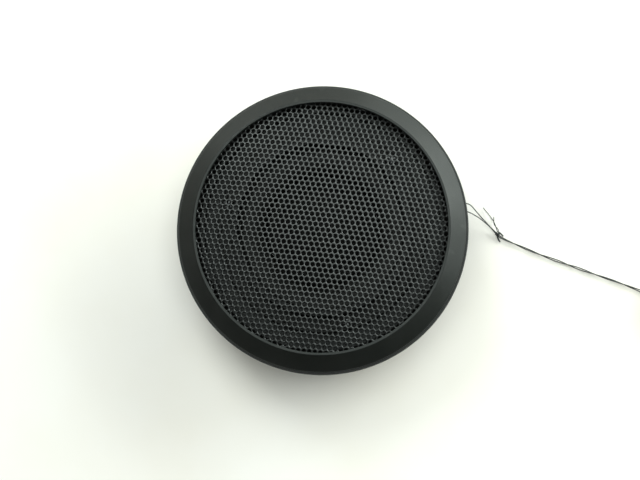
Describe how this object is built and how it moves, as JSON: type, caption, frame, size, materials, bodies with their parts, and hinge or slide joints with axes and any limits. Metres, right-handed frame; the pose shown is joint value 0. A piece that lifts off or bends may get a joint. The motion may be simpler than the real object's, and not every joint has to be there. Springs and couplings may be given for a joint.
{
  "type": "car tweeter",
  "caption": "Round flush-mount dome tweeter for a car panel, with a conical bezel, a domed perforated grille and a short flying lead ending in a small plug.",
  "frame": {"origin": "the middle of the back cover's outer face, which the tweeter lies on", "axes": "+Z points out of the grille, towards the listener; the lead leaves the wall 12 degrees from +X towards +Y"},
  "size_m": [0.1598, 0.087, 0.0301],
  "materials": {
    "moulded_plastic": "black moulded plastic, fine spark-eroded grain",
    "bezel_plastic": "matt black plastic, very fine grain, soft sheen",
    "grille_metal": "satin black painted perforated steel",
    "driver_plastic": "black moulded plastic",
    "foam": "closed-cell black foam",
    "black_screw": "black zinc",
    "plated_steel": "zinc-plated turned steel",
    "ferrite": "ground ferrite, matt dark grey",
    "felt": "wool felt",
    "dome_silk": "coated woven silk",
    "paper_board": "kraft paper board",
    "copper": "enamelled copper wire",
    "terminal_board": "phenolic paper board",
    "brass": "stamped brass",
    "capacitor_sleeve": "shrunk plastic sleeve",
    "wire_red": "red insulated wire",
    "wire_black": "black insulated wire",
    "rubber": "moulded black rubber",
    "connector_plastic": "natural nylon"
  },
  "bodies": {
    "housing": {"back_cover": "moulded_plastic", "cover_screw_1": "black_screw", "cover_screw_2": "black_screw", "cover_screw_3": "black_screw", "mounting_frame": "moulded_plastic", "panel_gasket": "foam", "bezel_ring": "bezel_plastic", "grille": "grille_metal", "grille_retainer": "moulded_plastic", "grille_seal": "foam", "driver_faceplate": "driver_plastic", "driver_screw_1": "black_screw", "driver_screw_2": "black_screw", "driver_screw_3": "black_screw", "yoke": "plated_steel", "magnet": "ferrite", "top_plate": "plated_steel", "damping_felt": "felt", "surround_ring": "paper_board", "terminal_board": "terminal_board", "terminal_plus": "brass", "terminal_minus": "brass", "tinsel_lead_plus": "copper", "tinsel_lead_minus": "copper", "capacitor": "capacitor_sleeve", "capacitor_wire_in": "wire_red", "capacitor_wire_out": "wire_red", "minus_wire": "wire_black", "lead_grommet": "rubber", "flying_lead": "wire_black", "lead_connector": "connector_plastic", "contact_plus": "brass", "contact_minus": "brass"},
    "diaphragm": {"dome": "dome_silk", "surround": "dome_silk", "coil_former": "paper_board", "voice_coil": "copper"}
  },
  "joints": [
    {"name": "dome_travel", "type": "slide", "parent": "housing", "child": "diaphragm", "axis": [0, 0, 1], "range_m": [-0.0003, 0.0003], "stiffness_N_per_m": 1000, "deforming": ["surround"]}
  ]
}
